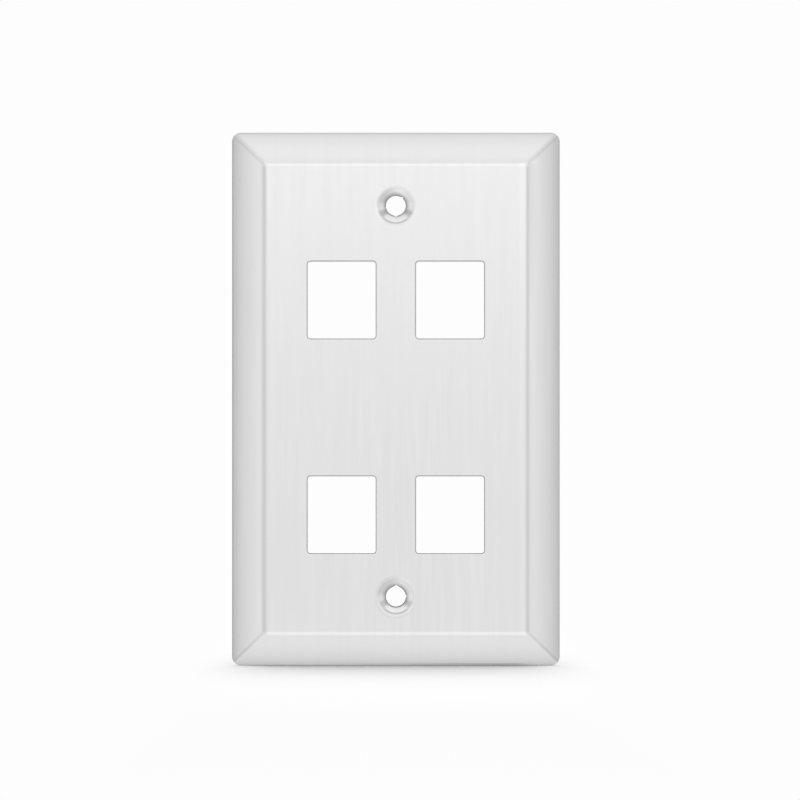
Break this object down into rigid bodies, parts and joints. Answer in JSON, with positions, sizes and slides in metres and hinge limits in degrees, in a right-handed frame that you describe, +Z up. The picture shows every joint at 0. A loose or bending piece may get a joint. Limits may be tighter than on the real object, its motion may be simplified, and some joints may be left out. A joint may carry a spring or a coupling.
{
  "type": "keystone faceplate",
  "caption": "One-gang stainless steel wall plate with square keystone openings, a curved bevelled rim, dimpled screw holes and moulded jack frames behind.",
  "frame": {"origin": "centre of the plate on the wall plane, which the rim's back edge touches", "axes": "+X to the right as the face is seen, +Y into the wall, +Z up; the face looks along -Y"},
  "size_m": [0.07, 0.0097, 0.1138],
  "materials": {
    "brushed_stainless": "vertical brushed grain",
    "moulded_plastic": "fine moulded texture"
  },
  "bodies": {
    "root": {"faceplate": "brushed_stainless", "jack_frame_upper_left": "moulded_plastic", "jack_frame_upper_right": "moulded_plastic", "jack_frame_lower_left": "moulded_plastic", "jack_frame_lower_right": "moulded_plastic"}
  },
  "joints": []
}
